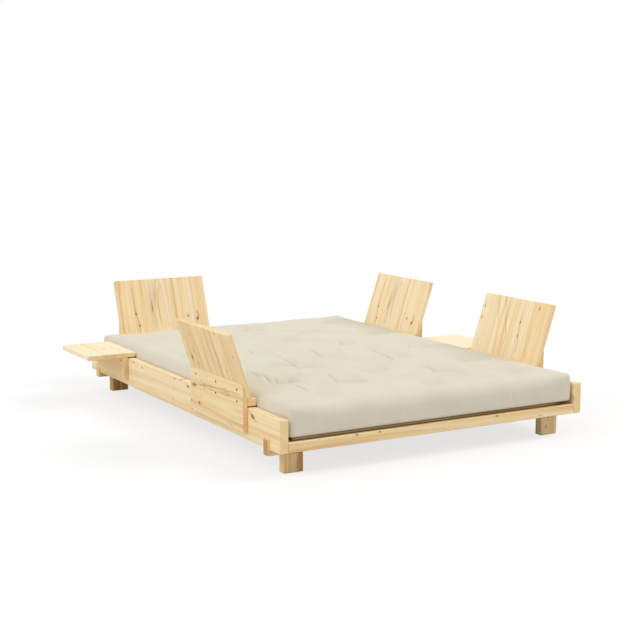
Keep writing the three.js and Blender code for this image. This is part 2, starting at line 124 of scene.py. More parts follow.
class Nodes:
    # makes and links the nodes of one tree
    def __init__(self, tree):
        self.tree = tree

    def node(self, kind, settings=None, inputs=None, output=0):
        made = self.tree.nodes.new(kind)
        for name, value in (settings or {}).items():
            if name == "stops":
                self.setStops(made.color_ramp.elements, value)
            else:
                setattr(made, name, value)
        for name, value in (inputs or {}).items():
            self.feed(made.inputs[name], value)
        return Flow(self, made.outputs[output])

    def setStops(self, elements, stops):
        while len(elements) < len(stops):
            elements.new(1.0)
        for element, (place, colour) in zip(elements, stops):
            element.position = place
            element.color = colour

    def feed(self, socket, value):
        if isinstance(value, Flow):
            self.tree.links.new(value.socket, socket)
        else:
            socket.default_value = value

    def parts(self, vector):
        split = self.node("ShaderNodeSeparateXYZ", None, {0: vector}).socket.node
        return [Flow(self, output) for output in split.outputs]

    def vector(self, x, y, z):
        return self.node("ShaderNodeCombineXYZ", None, {0: x, 1: y, 2: z})

    def across(self, operation, first, second, output=0):
        settings = {"operation": operation}
        return self.node("ShaderNodeVectorMath", settings, {0: first, 1: second}, output)

    def grainNoise(self, vector, detail=2.0, roughness=0.5, scale=1.0):
        inputs = {"Vector": vector, "Scale": scale, "Detail": detail, "Roughness": roughness}
        return self.node("ShaderNodeTexNoise", None, inputs)

    def blend(self, amount, first, second):
        settings = {"data_type": "RGBA", "clamp_factor": True}
        return self.node("ShaderNodeMix", settings, {0: amount, 6: first, 7: second}, 2)

    def bump(self, height, strength, distance):
        inputs = {"Height": height, "Strength": strength, "Distance": distance}
        return self.node("ShaderNodeBump", None, inputs)


class Paint(Nodes):
    # one material and its nodes
    def __init__(self, name, **finish):
        self.material = bpy.data.materials.new(name)
        self.material.use_nodes = True
        super().__init__(self.material.node_tree)
        self.shader = self.tree.nodes["Principled BSDF"]
        self.coat(**finish)

    def coat(self, **sockets):
        for socket, value in sockets.items():
            self.feed(self.shader.inputs[socket.replace("_", " ")], value)

    def place(self, at=(0, 0, 0), turn=(0, 0, 0)):
        spot = self.node("ShaderNodeTexCoord", output="Object")
        inputs = {"Vector": spot, "Location": at, "Rotation": turn}
        return self.node("ShaderNodeMapping", {"vector_type": "TEXTURE"}, inputs)


# Clear pine. Colours are as a screen shows them, and lengths in metres. A noise is how often it repeats in a
# metre along the grain and across it, how far it moves from one lamella to the next, its detail and its
# roughness. A range is where a pattern starts and where it is full.
pineLook = {
    "stops": [
        (0.0, (255, 237, 200)), (0.35, (251, 222, 170)), (0.65, (239, 202, 142)), (1.0, (206, 153, 95)),
    ],
    "cream": (251, 226, 186),
    "knot": (144, 92, 40),
    "knotRim": (96, 58, 18),
    "halo": (208, 150, 84),
    "streak": (184, 124, 58),
    "thread": (170, 102, 42),
    "waverNoise": (1.5, 7, 3.7, 2.0, 0.5),
    "bandNoise": (0.6, 40, 5.3, 5.0, 0.72),
    "calmNoise": (0.5, 11, 2.1, 1.0, 0.5),
    "fibreNoise": (16, 620, 9, 1.5, 0.6),
    "mottleNoise": (4, 22, 3, 2.0, 0.5),
    "creamNoise": (0.7, 17, 7.7, 2.0, 0.5),
    "bandRange": (0.25, 0.75),
    "calmRange": (0.3, 0.7),
    "creamRange": (0.45, 0.65),
    "endRange": (0.6, 0.9),
    "threadRange": (0.30, 0.50),
    "knotRange": (0.75, 1.25),
    "rimRange": (0.12, 0.42),
    "rimPlace": 0.95,
    "shift": 20,
    "ringWidth": 0.0046,
    "ringSharpness": 2.2,
    "ringJitter": 0.8,
    "waver": 0.024,
    "taper": 0.010,
    "lamellaOffset": 0.173,
    "middleTone": 0.36,
    "tone": 0.0,
    "bandContrast": 0.90,
    "ringContrast": 0.12,
    "fibreContrast": 0.16,
    "mottle": 0.24,
    "lamellaContrast": 0.34,
    "creamShare": 0.34,
    "knotShare": 0.9,
    "knotTurns": 5.0,
    "turnShare": 0.35,
    "rimShare": 0.55,
    "haloShare": 0.5,
    "haloStretch": 0.10,
    "haloFade": 0.9,
    "bend": 0.9,
    "bendMost": 9,
    "bendFade": 0.45,
    "endPlain": 0.75,
    "roughness": 0.50,
    "ringRough": 0.08,
    "fibreRough": 0.10,
    "knotSmooth": 0.10,
    "fibreRelief": 0.6,
    "ringRelief": 0.8,
    "rimRelief": 1.2,
    "bump": (0.35, 0.0005),
}
hiddenLook = dict(pineLook, tone=0.12, roughness=0.68)
tableLook = dict(pineLook, tone=-0.10, cream=(253, 240, 214), creamShare=0.6)


def axesTurn(along, across):
    # the turn of a frame whose X runs along the grain and whose Y runs across it
    through = along.cross(across)
    return Matrix((along, across, through)).transposed().to_euler()


def markDistance(paint, spot, oval):
    # how far out of an oval mark a point lies, squared, with 1 on its edge; and its parts along and across
    u, v, halfLength, halfWidth, turn = oval
    a = math.radians(turn)
    lengthwise = Vector((math.cos(a), math.sin(a), 0)) / (halfLength * mm)
    crosswise = Vector((-math.sin(a), math.cos(a), 0)) / (halfWidth * mm)
    away = paint.across("SUBTRACT", spot, (u * mm, v * mm, 0))
    x = paint.across("DOT_PRODUCT", away, lengthwise, "Value")
    y = paint.across("DOT_PRODUCT", away, crosswise, "Value")
    return x * x + y * y, x, y


def threadDistance(paint, spot, points):
    # how far a point lies from a line drawn through points in millimetres
    nearest = None
    for first, second in zip(points, points[1:]):
        start, end = Vector((*first, 0)) * mm, Vector((*second, 0)) * mm
        step = end - start
        away = paint.across("SUBTRACT", spot, start)
        share = paint.across("DOT_PRODUCT", away, step / step.length_squared, "Value").held()
        back = paint.node("ShaderNodeVectorMath", {"operation": "SCALE"}, {0: step, "Scale": share})
        gap = paint.across("LENGTH", paint.across("SUBTRACT", away, back), (0, 0, 0), "Value")
        nearest = gap if nearest is None else nearest.least(gap)
    return nearest


def pine(
    name, at, along, across, seed, look=pineLook, knots=(), streaks=(), threads=(), edges=(), tone=0.0,
    endTone=0.15, pith=(0.03, 0.07),
):
    # In millimetres: a knot is (along, across, half length, half width, turn in degrees), and a streak is the
    # same with its strength. A thread is a thin dark line: its points, its half width and its strength. Edges
    # are the glue lines between a board's lamellas. In metres: the pith is where the tree's middle lies,
    # across the board and into it. A higher tone is darker.
    paint = Paint(name, Specular_IOR_Level=0.35)
    spot = paint.place(at, axesTurn(along, across))
    u, v, w = paint.parts(spot)
    rng = random.Random(seed)
    shift = [rng.uniform(-look["shift"], look["shift"]) for _ in range(3)]
    lamella = v * 0.0
    for edge in edges:
        lamella = lamella + (v > edge * mm)

    def scaled(pattern):
        # the place along the grain, the scale across it, the lamella's own step, and the detail and roughness
        often, close, step, *kind = look[pattern]
        return u * often, close, lamella * step, kind

    # the year rings, bent by a slow waver, by the tree's taper and round each knot
    x, close, own, kind = scaled("waverNoise")
    slow = paint.grainNoise(paint.vector(x + shift[0], v * close + own, w * close + shift[1]), *kind)
    side = v + (lamella * look["lamellaOffset"] + pith[0]) + (slow - 0.5) * look["waver"]
    deep = w + pith[1]
    ring = (side * side + deep * deep).root() + u * look["taper"]
    core = flame = None
    for oval in knots:
        near, long, offside = markDistance(paint, spot, oval)
        drawnIn = offside * (near * -look["bendFade"]).exp()
        ring = ring - drawnIn * min(oval[3], look["bendMost"]) * mm * look["bend"]
        drawn = long * long * look["haloStretch"] + offside * offside
        core = near if core is None else core.least(near)
        flame = drawn if flame is None else flame.least(drawn)
    x, close, own, kind = scaled("bandNoise")
    band = paint.grainNoise(paint.vector(x, ring * close, own + shift[2]), *kind)
    x, close, own, kind = scaled("calmNoise")
    calm = paint.grainNoise(paint.vector(x + shift[1], ring * close, own), *kind)
    x, close, own, kind = scaled("fibreNoise")
    fibre = paint.grainNoise(paint.vector(x, v * close + own, w * close), *kind)
    x, close, own, kind = scaled("mottleNoise")
    mottle = paint.grainNoise(paint.vector(x + own, v * close, w * close + shift[0]), *kind)
    x, close, own, kind = scaled("creamNoise")
    creamy = paint.grainNoise(paint.vector(x + shift[2], ring * close, own), *kind)
    late = (ring / look["ringWidth"] + band * look["ringJitter"]).fraction() ** look["ringSharpness"]
    rings = late * calm.between(*look["calmRange"])
    normal = paint.node("ShaderNodeTexCoord", output="Normal")
    ends = paint.across("DOT_PRODUCT", normal, along, "Value").size().between(*look["endRange"])

    # how dark each point is, and its colour
    grain = (
        (band.between(*look["bandRange"]) - 0.5) * look["bandContrast"]
        + rings * look["ringContrast"]
        + (fibre - 0.5) * look["fibreContrast"]
    )
    amount = grain * (1 - ends * look["endPlain"]) + (mottle - 0.5) * look["mottle"] + ends * endTone
    amount = amount + (look["middleTone"] + tone + look["tone"])
    if edges:
        settings = {"noise_dimensions": "1D"}
        different = paint.node("ShaderNodeTexWhiteNoise", settings, {"W": lamella + seed * 1.7})
        amount = amount + (different - 0.5) * look["lamellaContrast"]
    stops = [(place, screenColour(*colour)) for place, colour in look["stops"]]
    colour = paint.node("ShaderNodeValToRGB", {"stops": stops}, {0: amount})
    creamShare = creamy.between(*look["creamRange"]) * (1 - ends) * look["creamShare"]
    colour = paint.blend(creamShare, colour, screenColour(*look["cream"]))

    # dark marks
    for *oval, strength in streaks:
        near = markDistance(paint, spot, oval)[0]
        colour = paint.blend((-near).exp() * strength, colour, screenColour(*look["streak"]))
    flat = paint.vector(u, v, 0.0)
    for *points, halfWidth, strength in threads:
        away = threadDistance(paint, flat, points) / (halfWidth * mm)
        broken = mottle.between(*look["threadRange"]) * 0.5 + 0.5
        share = (-(away * away)).exp() * broken * strength
        colour = paint.blend(share, colour, screenColour(*look["thread"]))
    rough = look["roughness"] + rings * look["ringRough"] + (fibre - 0.5) * look["fibreRough"]
    height = fibre * look["fibreRelief"] - rings * look["ringRelief"]
    if core is not None:
        haloShare = (flame * -look["haloFade"]).exp() * look["haloShare"]
        colour = paint.blend(haloShare, colour, screenColour(*look["halo"]))
        inside = 1 - core.between(*look["knotRange"])
        rim = 1 - (core - look["rimPlace"]).size().between(*look["rimRange"])
        turns = ((core.root() * look["knotTurns"]).fraction() - 0.5).size()
        knotShare = inside * (look["knotShare"] - turns * look["turnShare"])
        colour = paint.blend(knotShare, colour, screenColour(*look["knot"]))
        colour = paint.blend(rim * look["rimShare"], colour, screenColour(*look["knotRim"]))
        height = height - rim * look["rimRelief"]
        rough = rough - inside * look["knotSmooth"]
    paint.coat(Base_Color=colour, Roughness=rough, Normal=paint.bump(height, *look["bump"]))
    return paint.material


def dress(node, material):
    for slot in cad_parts[node].material_slots:
        slot.material = material


def middle(node):
    low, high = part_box(node)
    return (low + high) / 2


leftBoard, rightBoard, headBoard = (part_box(n) for n in ("side_rail_left", "side_rail_right", "head_board"))
boardTop = leftBoard[1].z


def knot(along, across, size, stretch=1.3, turn=0):
    return (along, across, size * stretch, size, turn)


def scattered(seed, count, length, width, start=(0, 0), sizes=(2, 5)):
    # knots for a face that the photo doesn't show, in millimetres, a little way in from its edges
    inLength, inWidth = (0.04, 0.96), (0.1, 0.9)
    rng = random.Random(seed)
    knots = []
    for _ in range(count):
        along = start[0] + rng.uniform(*inLength) * length
        across = start[1] + rng.uniform(*inWidth) * width
        knots.append(knot(along, across, rng.uniform(*sizes)))
    return knots


# The fixed boards: the directions along and across the grain, how dark the faces and the ends are, and the
# knots and streaks, measured from the lowest corner of the board's box
fixedBoards = {
    "side_rail_left": {
        "along": ahead, "across": up, "seed": 11, "tone": -0.08,
        "knots": [
            knot(1371, 116, 3.5), knot(1477, 125, 3), knot(995, 128, 3), knot(935, 132, 3), knot(848, 118, 6),
            knot(228, 105, 7, 1.9, 25), knot(1004, 74, 2), knot(1010, 34, 2), knot(1812, 60, 4.5),
            knot(560, 30, 3.5),
        ],
    },
    "side_rail_right": {
        "along": ahead, "across": up, "seed": 12, "tone": -0.08, "knots": scattered(5, 9, 2052, 133),
    },
    "head_board": {"along": right, "across": up, "seed": 13, "knots": scattered(6, 7, 1416, 133)},
    "foot_rail": {
        "along": right, "across": up, "seed": 14,
        "knots": [knot(998, 36, 3.5), knot(414, 37, 3), knot(307, 38, 3), knot(1230, 12, 2)],
    },
    # the front beam's darker tone and darker ends are painted shade beneath the rails
    "cross_beam_front": {
        "along": right, "across": up, "seed": 15, "tone": 0.25, "endTone": 0.55,
        "knots": scattered(7, 5, 1508, 66),
    },
    "cross_beam_rear": {"along": right, "across": up, "seed": 16, "knots": scattered(8, 5, 1508, 66)},
    # the darker tones of the front left and rear legs are painted shade under the bed
    "leg_front_left": {
        "along": up, "across": right, "seed": 17, "tone": 0.27,
        "streaks": [(40, 64, 34, 10, 6, 0.55), (58, 74, 26, 5, -8, 0.4)],
    },
    "leg_front_right": {
        "along": up, "across": right, "seed": 18, "tone": -0.15, "knots": [knot(37, 27, 3), knot(76, 37, 2)],
    },
    "leg_rear_left": {"along": up, "across": right, "seed": 19, "tone": 0.56, "knots": [knot(30, 60, 3)]},
    "leg_rear_right": {"along": up, "across": right, "seed": 20, "tone": 0.48, "knots": [knot(50, 30, 3.5)]},
}
for node, board in fixedBoards.items():
    dress(node, pine("pine_" + node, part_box(node)[0], **board))

# Inside pieces, in sawn pine: the directions along and across the grain, the length and width in millimetres
# of the face that gets knots, and how many it gets
insideKinds = {
    "centre_beam": (ahead, right, 1800, 45, 4),
    "centre_leg": (up, right, 80, 45, 1),
    "slat_ledge": (ahead, up, 1900, 20, 3),
    "corner_block": (up, right, 90, 45, 1),
    "slat_": (right, ahead, 1400, 80, 4),
}
insideNodes = [n for n in sorted(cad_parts) if n.startswith(tuple(insideKinds))]
for count, node in enumerate(insideNodes):
    kind = next(k for k in insideKinds if node.startswith(k))
    along, across, length, width, many = insideKinds[kind]
    seed = 40 + count
    dress(node, pine(
        "pine_" + node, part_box(node)[0], along, across, seed, look=hiddenLook,
        knots=scattered(seed, many, length, width), pith=(0.02 + 0.007 * (count % 5), 0.05),
    ))
print("stage: boards dressed,", len(fixedBoards) + len(insideNodes))


# The hooked pieces: where their group stands on its board, which way is inward and which sideways
hookedGroups = {
    "backrest_left": (leftBoard[0].x, right, ahead),
    "backrest_right_near": (rightBoard[1].x, -right, -ahead),
    "backrest_right_far": (rightBoard[1].x, -right, -ahead),
    "backrest_head": (headBoard[1].y, -ahead, right),
    "table_left": (leftBoard[0].x, right, ahead),
    "table_right": (rightBoard[1].x, -right, -ahead),
}
panelPlace = {"seat": 0.0215, "bottom": 0.0359, "lean": 18.6}  # inner face on the foot, height, degrees


def groupOrigin(group):
    face, inward, sideways = hookedGroups[group]
    centre = middle(group + "_plate")
    origin = Vector((face, centre.y, boardTop)) if inward.y == 0 else Vector((centre.x, face, boardTop))
    return origin, inward, sideways


# The marks of each panel, up its slope and sideways from its middle. The photo shows the same marks on the
# far panel and on the head panel.
farMarks = {
    "seed": 22,
    "knots": [knot(102, -158, 4), knot(37, -146, 4), knot(53, 187, 5.5, 1.6, 10), knot(72, 132, 3)],
    "streaks": [
        (150, -62, 110, 16, 2, 0.30), (190, -40, 60, 8, 2, 0.35), (124, -62, 22, 5, 6, 0.6),
        (140, 52, 120, 5, 2, 0.2),
    ],
    "threads": [
        [(241, -163), (189, -161), (136, -160), (102, -158), (64, -149), (37, -146), (3, -146), 2.0, 0.5],
        [(288, -25), (203, -30), (122, -29), (68, -25), 3.2, 0.26],
        [(252, 1), (221, -17), (149, -26), (86, -27), (50, -21), 3.2, 0.24],
        [(252, 1), (221, 7), (149, 8), (86, 12), (24, 16), 3.2, 0.24],
        [(167, -63), (122, -63), (73, -54), (17, -52), 3.0, 0.34],
        [(95, 188), (68, 194), (54, 191), (52, 180), 3.2, 0.6],
        [(80, 139), (69, 144), (68, 129), 2.6, 0.45],
    ],
}
# the lighter tones of the head panel and, more so, of the right panels are painted light
panelMarks = {
    "backrest_left": {
        "seed": 21, "tone": 0.08, "edges": [-218, -120, -14, 30, 120],
        "knots": [
            knot(233, 141, 3), knot(115, 196, 6, 2.0, -8), knot(154, 156, 3), knot(96, 153, 3),
            knot(274, -128, 3), knot(190, -241, 3), knot(112, -138, 3),
        ],
        "streaks": [
            (150, 33, 120, 3, -7, 0.55), (150, 8, 130, 2, -5, 0.5), (150, -13, 120, 2, -3, 0.5),
            (150, -218, 130, 2, 0, 0.4), (170, 110, 100, 4, 4, 0.3), (130, -70, 90, 3, -2, 0.3),
        ],
        "threads": [[(190, -150), (112, -138), (60, -134), 1.3, 0.6]],
    },
    "backrest_head": dict(farMarks, tone=-0.10, edges=[-200, -62, -13, 60, 129, 171]),
    "backrest_right_far": dict(farMarks, tone=-0.20, edges=[-219, -62, -13, 60, 129, 175]),
    "backrest_right_near": {
        "seed": 23, "tone": -0.20, "edges": [-200, -60, 20, 126],
        "knots": [
            knot(219, -229, 3.5), knot(160, -231, 3.5), knot(174, 60, 4), knot(110, 68, 3.5),
            knot(254, 167, 4),
        ],
        "streaks": [(130, -45, 110, 3, -4, 0.35), (180, 126, 100, 2, 1, 0.3), (120, 150, 90, 5, 3, 0.2)],
        "threads": [
            [(201, 61), (174, 60), (140, 66), (107, 72), (65, 82), (40, 84), 1.8, 0.55],
            [(282, -91), (209, -61), (146, -37), (98, -14), (66, -21), (-5, -19), 4.2, 0.32],
            [(280, -145), (183, -107), (89, -82), (-1, -67), 4.2, 0.26],
            [(282, 126), (206, 131), (114, 135), (15, 158), 3.4, 0.2],
        ],
    },
}
# The marks of the plate whose outside the photo shows, along it from its middle and up from the board's top
plateMarks = {
    "knots": [knot(217, 15, 8, 1.1), knot(162, -54, 7, 0.8), knot(238, -94, 3), knot(240, -56, 3)],
    "streaks": [
        (60, 40, 60, 10, 2, 0.18), (-90, 40, 40, 10, 6, 0.18), (-143, -89, 30, 3, 10, 0.35),
        (-231, -42, 30, 2, 0, 0.35),
    ],
    "threads": [
        [(206, 36), (185, 34), (166, 30), (153, 39), (138, 48), 2.4, 0.42],
        [(121, 36), (111, 36), (105, 32), (109, 24), (109, 15), 3.4, 0.5],
        [
            (160, 26), (136, 27), (98, 33), (64, 35), (38, 36), (11, 39), (-18, 41), (-47, 43), (-76, 49),
            (-92, 51), (-96, 44), 2.4, 0.52,
        ],
        [(49, 33), (46, 24), (30, 20), 2.2, 0.36],
        [(-99, 45), (-134, 48), (-170, 49), (-193, 50), (-217, 48), 2.2, 0.5],
        [(-47, 34), (-61, 26), (-87, 25), (-112, 27), (-130, 30), 2.4, 0.5],
        [(-96, 42), (-116, 36), (-128, 32), 2.4, 0.5],
        [(238, -28), (208, -29), (170, -32), (136, -29), 2.4, 0.28],
        [(219, -62), (192, -61), (174, -57), 2.0, 0.3],
    ],
}
# The glue lines of the tables' tops, and the short dark arcs or knots on them
tableMarks = {
    "table_left": {
        "edges": [5, -60, -125, -190],
        "streaks": [
            (-9, -58, 14, 6, 60, 0.5), (14, -10, 16, 5, -40, 0.5), (-60, 1, 22, 4, 20, 0.45),
            (-30, -34, 26, 3, 70, 0.4),
        ],
    },
    "table_right": {
        "edges": [-190, -125, -60, 5, 30],
        "knots": scattered(75, 2, 360, 180, (-180, -190)),
    },
}
lean = math.radians(panelPlace["lean"])
for count, group in enumerate(hookedGroups):
    origin, inward, sideways = groupOrigin(group)
    if group in panelMarks:
        slope = up * math.cos(lean) - inward * math.sin(lean)
        foot = origin + inward * panelPlace["seat"] + up * panelPlace["bottom"]
        dress(group + "_panel", pine(
            f"pine_{group}_panel", foot, slope, sideways, endTone=0.0, pith=(0.06, 0.05), **panelMarks[group],
        ))
        dress(group + "_foot", pine(
            f"pine_{group}_foot", origin, sideways, up, 60 + count, tone=0.05,
            knots=scattered(60 + count, 1, 500, 31, (-250, 5), (2, 4)),
        ))
    else:
        dress(group + "_top", pine(
            f"pine_{group}_top", origin, sideways, inward, 70 + count, look=tableLook, tone=-0.12,
            endTone=0.38, **tableMarks[group],
        ))
    plain = {"knots": scattered(80 + count, 3, 480, 150, (-240, -90))}
    marks = plateMarks if group == "backrest_left" else plain
    dress(group + "_plate", pine(
        f"pine_{group}_plate", origin, sideways, up, 30 + count, tone=0.08, endTone=0.12, pith=(0.02, 0.05),
        **marks,
    ))
print("stage: hooked pieces dressed,", len(hookedGroups))

# Steel: the hooks are coated black, and the leg bolts are zinc plated. A noise is its detail, roughness and
# scale, rough is the least roughness and what the noise adds, and bump is its strength and height.
steelLook = {
    "colour": (34, 34, 36), "worn": (70, 70, 72), "wornShare": 0.35, "wornRange": (0.55, 0.75),
    "cloudNoise": (4.0, 0.6, 90.0), "noise": (3.0, 0.5, 900.0), "rough": (0.42, 0.2), "bump": (0.2, 0.0002),
}
zincLook = {
    "colour": (196, 200, 204), "worn": (150, 155, 160),
    "noise": (3.0, 0.6, 400.0), "rough": (0.28, 0.2), "bump": (0.15, 0.0002),
}


def metalPaint(name, look, **finish):
    # one fine noise gives the relief, and the wear and roughness too unless the look has clouds for them
    paint = Paint(name, **finish)
    fine = wear = share = paint.grainNoise(paint.place(), *look["noise"])
    if "cloudNoise" in look:
        wear = paint.grainNoise(paint.place(), *look["cloudNoise"])
        share = wear.between(*look["wornRange"]) * look["wornShare"]
    least, more = look["rough"]
    paint.coat(
        Base_Color=paint.blend(share, screenColour(*look["colour"]), screenColour(*look["worn"])),
        Roughness=least + wear * more, Normal=paint.bump(fine, *look["bump"]),
    )
    return paint.material


blackSteel, zincSteel = metalPaint("black_steel", steelLook), metalPaint("zinc_steel", zincLook, Metallic=1.0)
for node in sorted(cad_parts):
    if node.endswith("_hook"):
        dress(node, blackSteel)
    elif node.startswith("leg_bolt"):
        dress(node, zincSteel)


def pickNothing():
    bpy.ops.object.select_all(action="DESELECT")


def pickParts(kind, test):
    # in edit mode, selects the edges or faces that pass the test
    mesh = bmesh.from_edit_mesh(bpy.context.object.data)
    for part in (*mesh.verts, *mesh.edges, *mesh.faces):
        part.select = False
    for part in getattr(mesh, kind):
        if test(part):
            part.select_set(True)
    bmesh.update_edit_mesh(bpy.context.object.data)


def applyModifier(thing, kind, **settings):
    modifier = thing.modifiers.new(kind.lower(), kind)
    for name, value in settings.items():
        setattr(modifier, name, value)
    bpy.ops.object.modifier_apply(modifier=modifier.name)


# The black screws: one is modelled, then copied into the counterbores of the four backrests
screwLook = {
    "headRadius": 0.0049, "headThick": 0.0036, "headSides": 24, "below": 0.0002, "rounded": 0.0005,
    "driveAcross": 0.0040, "driveDeep": 0.0018, "spacing": 0.197, "heights": (0.066, 0.0185),
    "plateThick": 0.0223, "turnStep": 0.37, "colour": (8, 8, 8), "worn": (18, 17, 16),
    "noise": (3.0, 0.5, 1500.0), "rough": (0.6, 0.25), "bump": (0.2, 0.0001),
}


def screwMaster():
    pickNothing()
    size = screwLook
    bpy.ops.mesh.primitive_cylinder_add(
        vertices=size["headSides"], radius=size["headRadius"], depth=size["headThick"],
        location=(0, 0, -size["headThick"] / 2),
    )
    head = bpy.context.object
    bpy.ops.object.transform_apply(location=True, rotation=True, scale=True)
    bpy.ops.object.mode_set(mode="EDIT")
    bpy.ops.mesh.select_mode(type="EDGE")
    pickParts("edges", lambda edge: all(end.co.z > -1e-6 for end in edge.verts))
    bpy.ops.mesh.bevel(offset=size["rounded"], segments=3, profile=0.5)
    bpy.ops.object.mode_set(mode="OBJECT")
    pickNothing()
    bpy.ops.mesh.primitive_cylinder_add(
        vertices=6, radius=size["driveAcross"] / math.sqrt(3), depth=size["driveDeep"] * 2,
        location=(0, 0, 0),
    )
    drive = bpy.context.object
    pickNothing()
    head.select_set(True)
    bpy.context.view_layer.objects.active = head
    applyModifier(head, "BOOLEAN", object=drive, operation="DIFFERENCE")
    bpy.data.objects.remove(drive)
    return head


master = screwMaster()
master.data.materials.clear()
master.data.materials.append(metalPaint("screw_black", screwLook, Specular_IOR_Level=0.04))
screwCount = 0
for group in panelMarks:
    origin, inward, sideways = groupOrigin(group)
    face = origin - inward * (screwLook["plateThick"] - screwLook["below"])
    turn = Matrix((sideways, up, -inward)).transposed().to_4x4()
    for row, height in enumerate(screwLook["heights"]):
        for column in (-1, 0, 1):
            spot = face + sideways * column * screwLook["spacing"] + up * height
            place = row * 3 + column
            spun = Matrix.Rotation(screwLook["turnStep"] * place, 4, "Z")
            screw = master.copy()
            screw.data = master.data.copy()
            screw.name = f"{group}_screw_{place + 2}"
            bpy.context.scene.collection.objects.link(screw)
            screw.data.transform(Matrix.Translation(spot) @ turn @ spun)
            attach(screw, group)
            screwCount += 1
bpy.data.objects.remove(master)
print("stage: screws set,", screwCount)

# The futon: a rounded pad, pulled down at its tufts, with the slack cover folded between them. In metres.
futonShape = {
    # the pad: its thickness, how far its middle stands higher, its corner in plan, and how much it is wider
    # on each side, shorter at each end and narrower at its front corners than its solid
    "thick": 0.137, "crown": 0.007, "corner": 0.018, "wider": 0.0055, "shorter": 0.001, "frontNarrow": 0.009,
    # the rolled edges, the upper one tighter near the corners
    "topRound": 0.056, "topPinch": 0.030, "cornerReach": 0.10, "bottomRound": 0.010, "topShare": 0.75,
    # slow waves on its top: the scale, seed and height of each
    "waves": ((4.5, 1, 0.003), (13.0, 2, 0.0010)),
    # the mesh: cells of its top, rows up its sides, and the band of cells kept under its rim
    "cell": 0.0065, "rows": 14, "band": 0.08,
    # the tufts: their pits lean a little, fall off slowly on the far side and get a painted shade there
    "tuftDeep": 0.033, "tuftWide": 0.050, "tuftNear": 0.022, "tuftFar": 0.095, "tuftLean": 0.18,
    "pitWide": 0.030, "pitBeyond": 0.065, "pitLong": 0.040, "pitShade": 0.23,
    # the far edge, which stays straight: how wide it is, and how far the tufts take to fade out before it
    "farPlain": 0.03, "farFade": 0.10,
    # the folds: a crease between two lips, with a painted shade along the crease: how wide it is against the
    # fold's reach, and how deep a fold is where it is full
    "foldDeeper": 1.25, "foldStart": 0.2, "foldGrow": 1.1, "lipShare": 0.22, "lipOff": 2.6,
    "lipReach": 0.026, "paintedShadeShare": 0.75, "creaseShadeFull": 0.012,
    # where a hollow's painted shade lies and how long it is, against how far the hollow reaches
    "hollowShadeAt": 0.65, "hollowShadeLong": 0.5,
    # a small peak at the far right corner
    "peak": 0.004, "peakX": 0.64, "peakIn": 0.05, "peakReach": 0.032,
    # the sides: pulled in, slack, and puckered where they are slackest
    "sideReach": 0.05, "sideIn": 0.0015, "slack": 0.003, "pucker": 0.0030, "finePucker": 0.0016,
    "slackShare": 0.5, "patchGain": 1.6, "patchLeast": 0.25,
    # the noises of the sides: how much lower than wide, scale and seed
    "patchNoise": (0.5, 7.0, 6), "puckerNoise": (0.22, 30.0, 3), "fineNoise": (0.3, 80.0, 4),
    "slackNoise": (0.6, 4.0, 5),
    # the front: how far back and how softly it is narrowed, how high its lower edge stands off the rail, how
    # deep that slot is and how it closes, how far the edge is tucked under, and the painted shade on the hem
    # and in the slot; curlHigh and tuckHigh are shares of the pad's thickness
    "narrowReach": 0.10, "narrowFade": 0.08, "frontLift": 0.012, "liftSlack": 0.4, "curlHigh": 0.45,
    "slotDeep": 0.055, "slotClose": 0.020, "frontTuck": 0.003, "tuckHigh": 0.6,
    "hemHigh": 0.032, "hemShade": 0.7, "slotHigh": 0.022, "slotEdge": 0.008, "slotShadeDeep": 0.075,
}
# tufts: x and y in millimetres in the part's frame, and how deep against the usual
tufts = [
    (-485, -629, 1.2), (-212, -389, 1.1), (28, -188, 1.0), (-236, -769, 1.2), (264, 457, 0.9),
    (28, 265, 0.9), (21, 665, 0.9), (511, 700, 0.9), (235, 57, 0.9), (-456, -932, 0.6),
    (-230, 35, 0.7), (267, -380, 0.6), (268, -772, 1.0), (507, -170, 0.9), (-14, -606, 0.8),
    (38, -952, 0.7), (-468, 703, 0.9), (-230, 800, 0.7), (25, 790, 0.6), (-590, 120, 0.6),
]
# folds: depth and reach, and the line that each follows towards its sharp end, all in millimetres
folds = [
    (9, 5, ((-260, 157), (-280, 98), (-308, 19))),
    (7, 5, ((-295, 43), (-219, 106), (-237, -14), (-233, -91), (-244, -181), (-268, -293), (-298, -414))),
    (9, 5, ((-202, -127), (-219, -204), (-233, -268), (-237, -302))),
    (9, 5, ((-253, -186), (-265, -265), (-286, -359), (-300, -422))),
    (6, 5, ((-276, -252), (-295, -342), (-307, -428))),
    (6, 6, ((-410, -180), (-361, -227), (-321, -267), (-307, -332), (-307, -408))),
    (12, 5, ((-7, 62), (-9, 1), (-29, -93), (-64, -204))),
    (8, 5, ((1, -100), (-52, -209))),
    (4, 6, ((0, -303), (-25, -264), (-58, -238))),
    (9, 5, ((252, 188), (241, 145), (237, 123))),
    (6, 6, ((-27, 758), (-6, 737), (-39, 623))),
    (8, 6, ((58, 820), (24, 738))),
    (12, 6, ((-518, -346), (-519, -394), (-528, -480))),
    (14, 5, ((-503, -403), (-505, -470), (-516, -534), (-537, -608))),
    (9, 6, ((-461, -501), (-484, -550))),
    (9, 5, ((-501, -683), (-493, -725), (-493, -786), (-497, -842))),
    (4, 7, ((-343, -516), (-383, -547), (-420, -550))),
    (13, 5, ((-248, -539), (-259, -609), (-279, -689), (-307, -780))),
    (9, 5, ((-249, -623), (-258, -684), (-251, -712))),
    (13, 5, ((254, -62), (230, -183), (204, -312), (178, -422))),
    (9, 5, ((247, -201), (223, -303), (179, -428))),
    (13, 5, ((230, -589), (211, -669), (169, -793))),
    (10, 5, ((251, -592), (239, -661), (184, -791))),
    (4, 6, ((323, -874), (241, -841), (172, -808))),
    (9, 6, ((523, -44), (434, -197))),
]
# hollows in the right half: x, y, reach to the left and right, reach nearer and farther, and depth, all in
# millimetres
hollows = [
    (560, 235, 95, 90, 20, 110, 24), (512, -600, 80, 80, 20, 120, 25), (525, -941, 75, 80, 20, 110, 21),
]


